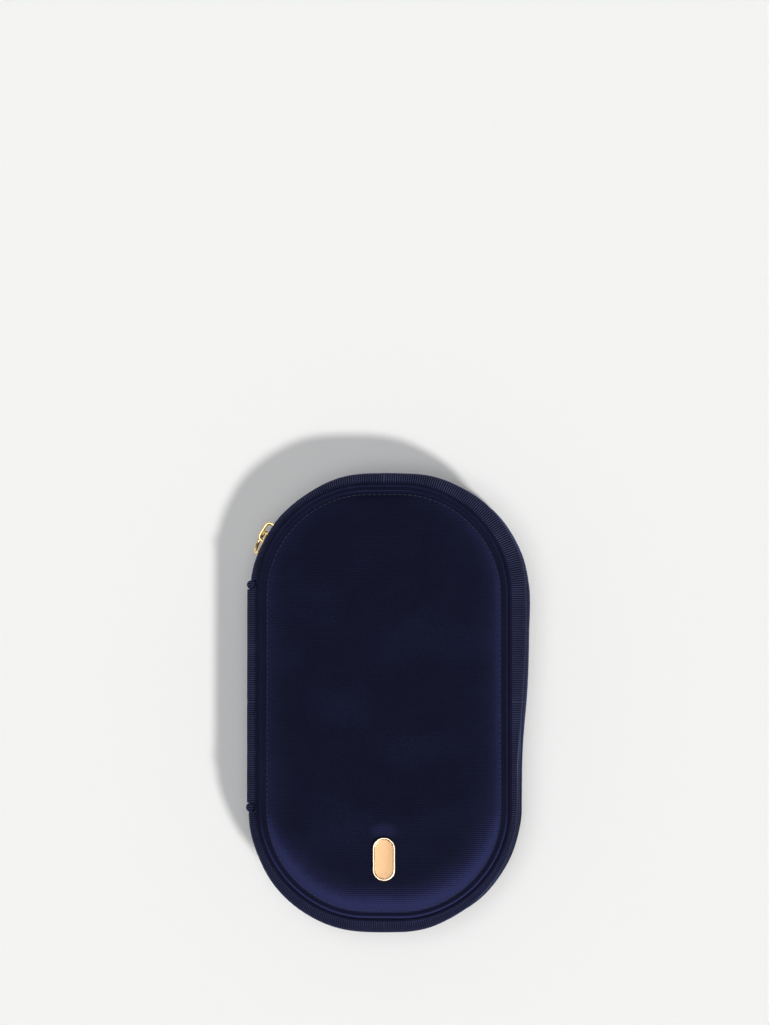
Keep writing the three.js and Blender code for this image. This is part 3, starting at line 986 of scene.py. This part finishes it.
def badgePlate():
    r = badge["width"] / 2
    rim, low, top, field = badge["rim"], badge["low"], badge["rimHigh"], badge["field"]
    edge = [(0, low), (r - 0.25, low), (r, low + 0.25), (r, top - 0.45)]
    roll = [(r - 0.42 + 0.42 * math.cos(a), top - 0.42 + 0.42 * math.sin(a))
            for a in (math.pi * i / 10 for i in range(1, 10))]
    inside = [(r - rim, top - 0.4), (r - rim - 0.03, field + 0.04), (r - rim - 0.15, field), (0, field)]
    bm = sweep(edge + roll + inside, loop=False, cornerSteps=14, rows=4,
               shift=(0, (badge["length"] - badge["width"]) / 2 * mm))
    centre = sum(lowHigh("lid_badge"), Vector()) / 2
    bmesh.ops.translate(bm, verts=bm.verts, vec=(centre.x, centre.y, 0))
    return bm, centre


plate, badgeCentre = badgePlate()
badgePiece = finishPiece("lid_badge_plate", plate, "badgeRim", "lid_badge", sharp=70, extra=("brushedAndPaintedLight",))
for polygon in badgePiece.data.polygons:
    if polygon.normal.z > 0.95 and abs(polygon.center.z - badge["field"] * mm) < 0.05 * mm:
        polygon.material_index = 1
pinBase = bmesh.new()
pinTop, pinFoot = badge["low"] * mm, lowHigh("lid_badge")[0].z
for side in (-1, 1):
    bmesh.ops.create_cone(pinBase, cap_ends=True, segments=24, radius1=0.8 * mm, radius2=0.8 * mm,
                          depth=pinTop - pinFoot, matrix=Matrix.Translation(
                              (badgeCentre.x, badgeCentre.y + side * 4.4 * mm, (pinTop + pinFoot) / 2)))
finishPiece("lid_badge_pins", pinBase, "gold", body="lid", slot="gold")
print("badge made")


# Linings and inside

low, high = lowHigh("lid_wall_lining")
finishPiece("base_wall_lining_cloth", sweep(bar(43.7, 44.6, 4.7, 23.5, 0.4)), "lining", "base_wall_lining")
finishPiece("lid_wall_lining_cloth", sweep(bar(43.7, 44.6, low.z / mm, high.z / mm, 0.4)), "lining",
            "lid_wall_lining")
low, high = lowHigh("base_floor_lining")
finishPiece("base_floor_cloth", sweep(disc(44.6, low.z / mm, high.z / mm), loop=False), "lining",
            "base_floor_lining")
low, high = lowHigh("lid_lining_panel")
finishPiece("lid_lining_cloth", sweep(disc(44.6, low.z / mm, high.z / mm), loop=False), "lining",
            "lid_lining_panel")

tray = {
    "radius": 43.4,
    "low": 4.7,
    "high": 21,
    "floor": 7,
    "edge": 0.9,
    "caseWell": {"centre": (0, -30), "size": (58, 48), "corner": 10},
    "cableWell": {"centre": (0, 48), "size": (56, 24), "corner": 12},
    "budWells": {"centre": (16, 14), "radius": 11},
}


def wellCutter(centre, size, corner):
    bm = bmesh.new()
    width, length = size
    place = Matrix.Translation((centre[0] * mm, centre[1] * mm, (tray["floor"] + 12) * mm))
    bmesh.ops.create_cube(bm, size=1, matrix=place @ Matrix.Diagonal((width * mm, length * mm, 24 * mm, 1)))
    upright = [e for e in bm.edges if abs((e.verts[0].co - e.verts[1].co).normalized().z) > 0.9]
    bmesh.ops.bevel(bm, geom=upright, offset=(corner - 0.01) * mm, segments=12, affect="EDGES", profile=0.5,
                    material=-1)
    bottom = [e for e in bm.edges if all(abs(v.co.z - tray["floor"] * mm) < 1e-6 for v in e.verts)]
    bmesh.ops.bevel(bm, geom=bottom, offset=2 * mm, segments=5, affect="EDGES", profile=0.5, material=-1)
    return bm


def holderOf(name, bm):
    bmesh.ops.remove_doubles(bm, verts=bm.verts, dist=1e-6)
    bmesh.ops.recalc_face_normals(bm, faces=bm.faces)
    mesh = bpy.data.meshes.new(name)
    bm.to_mesh(mesh)
    bm.free()
    holder = bpy.data.objects.new(name, mesh)
    bpy.context.scene.collection.objects.link(holder)
    return holder


def makeTray():
    body = holderOf("tray_blank", sweep(disc(tray["radius"], tray["low"], tray["high"], 0.8), loop=False))
    cutters = [wellCutter(w["centre"], w["size"], w["corner"]) for w in (tray["caseWell"], tray["cableWell"])]
    x, y = tray["budWells"]["centre"]
    r = tray["budWells"]["radius"]
    cutters += [wellCutter((side * x, y), (2 * r, 2 * r), r) for side in (-1, 1)]
    holders = [holderOf(f"cutter{i}", bm) for i, bm in enumerate(cutters)]
    for cutter in holders:
        boolean = body.modifiers.new("well", "BOOLEAN")
        boolean.operation = "DIFFERENCE"
        boolean.solver = "EXACT"
        boolean.object = cutter
    edge = body.modifiers.new("soft_edge", "BEVEL")
    edge.width = tray["edge"] * mm
    edge.segments = 4
    edge.limit_method = "ANGLE"
    edge.angle_limit = math.radians(50)
    bpy.context.view_layer.update()
    mesh = bpy.data.meshes.new_from_object(body.evaluated_get(bpy.context.evaluated_depsgraph_get()))
    for holder in (body, *holders):
        bpy.data.objects.remove(holder)
    bm = bmesh.new()
    bm.from_mesh(mesh)
    bpy.data.meshes.remove(mesh)
    return bm


finishPiece("organiser_tray", makeTray(), "tray", "insert_tray", sharp=50)

ribbon = {"width": 12, "start": 62, "bend": 69, "radius": 3.05, "tip": 29, "thickness": 0.7}


def ribbonTab():
    base = (tray["high"] + 0.3 + ribbon["thickness"] / 2)
    path = [(ribbon["start"] + (ribbon["bend"] - ribbon["start"]) * i / 6, base) for i in range(7)]
    path += [(ribbon["bend"] + ribbon["radius"] * math.sin(a), base + ribbon["radius"] * (1 - math.cos(a)))
             for a in (math.pi / 2 * i / 8 for i in range(1, 9))]
    path += [(ribbon["bend"] + ribbon["radius"] + 0.2 * math.sin(i), base + ribbon["radius"] + i * 1.0)
             for i in (1, 2, 3, 4)]
    bm = bmesh.new()
    verts = [bm.verts.new((-ribbon["width"] / 2 * mm, y * mm, z * mm)) for y, z in path]
    edges = [bm.edges.new(pair) for pair in zip(verts, verts[1:])]
    made = bmesh.ops.extrude_edge_only(bm, edges=edges)["geom"]
    bmesh.ops.translate(bm, verts=[g for g in made if isinstance(g, bmesh.types.BMVert)],
                        vec=(ribbon["width"] * mm, 0, 0))
    bmesh.ops.solidify(bm, geom=bm.faces[:], thickness=ribbon["thickness"] * mm)
    return bm


finishPiece("lift_ribbon", ribbonTab(), "trim", "tray_lift_ribbon", sharp=50)

pocket = {"radius": 43.2, "edge": 4.0, "ripples": 46}


def pocketNet():
    low, high = lowHigh("mesh_pocket")
    bm = sweep(disc(pocket["radius"], low.z / mm, high.z / mm, 0.1), loop=False)
    everything = bm.verts[:] + bm.edges[:] + bm.faces[:]
    bmesh.ops.bisect_plane(bm, geom=everything, plane_co=(0, pocket["edge"] * mm, 0), plane_no=(0, 1, 0),
                           clear_outer=True)
    bmesh.ops.holes_fill(bm, edges=[e for e in bm.edges if len(e.link_faces) == 1], sides=0)
    return bm


def pocketBinding():
    low, high = lowHigh("pocket_binding")
    bm = bmesh.new()
    size = high - low
    place = Matrix.Translation((low + high) / 2) @ Matrix.Diagonal((size.x, size.y, 1, 1))
    bmesh.ops.create_grid(bm, x_segments=4 * pocket["ripples"], y_segments=10, size=0.5, matrix=place)
    for vert in bm.verts:
        ripple = math.sin(2 * math.pi * pocket["ripples"] * (vert.co.x - low.x) / size.x)
        across = math.sin(math.pi * min(1, max(0, (vert.co.y - low.y) / size.y)))
        vert.co.z += 0.22 * mm * ripple * across
    bmesh.ops.solidify(bm, geom=bm.faces[:], thickness=0.7 * mm)
    return bm


net = finishPiece("pocket_net", pocketNet(), "net", "mesh_pocket", sharp=50)
netCorner = pocket["radius"] * mm - cornerX
netStraight = pocket["edge"] * mm + cornerY
netArea = (2 * pocket["radius"] * mm * netStraight + math.pi / 2 * netCorner ** 2 + 2 * cornerX * netCorner)
netStraight + netCorner
finishPiece("pocket_elastic", pocketBinding(), "trim", "pocket_binding", sharp=50)
print("inside made")


# Hidden pieces keep their CAD shape

hiddenLooks = {
    "bottom_board": "board", "base_wall_board": "board", "lid_board": "board", "lid_wall_board": "board",
    "lid_foam_pad": "foam",
    "badge_washer_upper": "steel", "badge_washer_lower": "steel",
}
for node, look in hiddenLooks.items():
    nodes[node].data.materials.clear()
    nodes[node].data.materials.append(looks[look])


# Floor

floorMesh = bmesh.new()
bmesh.ops.create_grid(floorMesh, x_segments=2, y_segments=2, size=3)
floor = finishPiece("floor", floorMesh, "floor")
